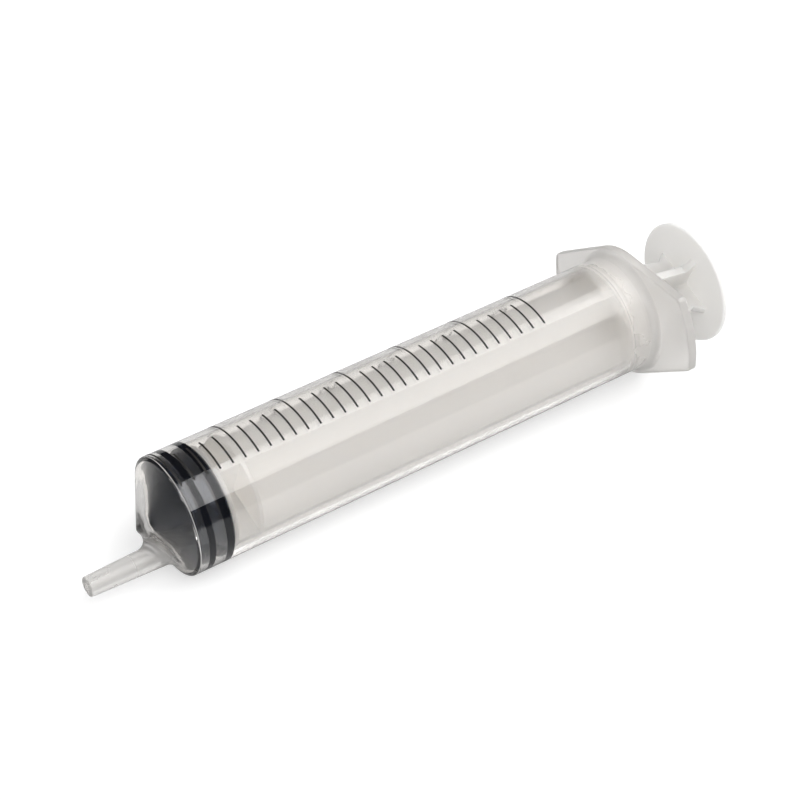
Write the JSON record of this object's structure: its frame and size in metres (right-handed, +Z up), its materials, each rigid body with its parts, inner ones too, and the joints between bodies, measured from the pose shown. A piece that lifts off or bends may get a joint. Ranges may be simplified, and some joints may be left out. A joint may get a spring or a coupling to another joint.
{
  "type": "luer slip syringe",
  "caption": "Clear syringe barrel with an off-centre slip nozzle and winged flange, black rubber stopper, and finned plunger rod with thumb disc.",
  "frame": {"origin": "centre of the nozzle's mouth", "axes": "+X along the nozzle and barrel towards the thumb disc, +Z up as the syringe lies on a table"},
  "size_m": [0.1409, 0.043, 0.027],
  "materials": {
    "clear_barrel": "glossy clear moulding",
    "translucent_rod": "satin translucent moulding",
    "black_rubber": "smooth, lightly siliconed"
  },
  "bodies": {
    "barrel": {"barrel": "clear_barrel"},
    "stopper": {"stopper": "black_rubber"},
    "plunger_rod": {"plunger_rod": "translucent_rod"}
  },
  "joints": [
    {"name": "plunger_slide", "type": "slide", "parent": "barrel", "child": "stopper", "axis": [1, 0, 0], "range_m": [0, 0.0915]},
    {"name": "rod_turn", "type": "hinge", "parent": "stopper", "child": "plunger_rod", "pos_m": [0.0262, 0.00198, 0.00609], "axis": [1, 0, 0], "continuous": true}
  ]
}
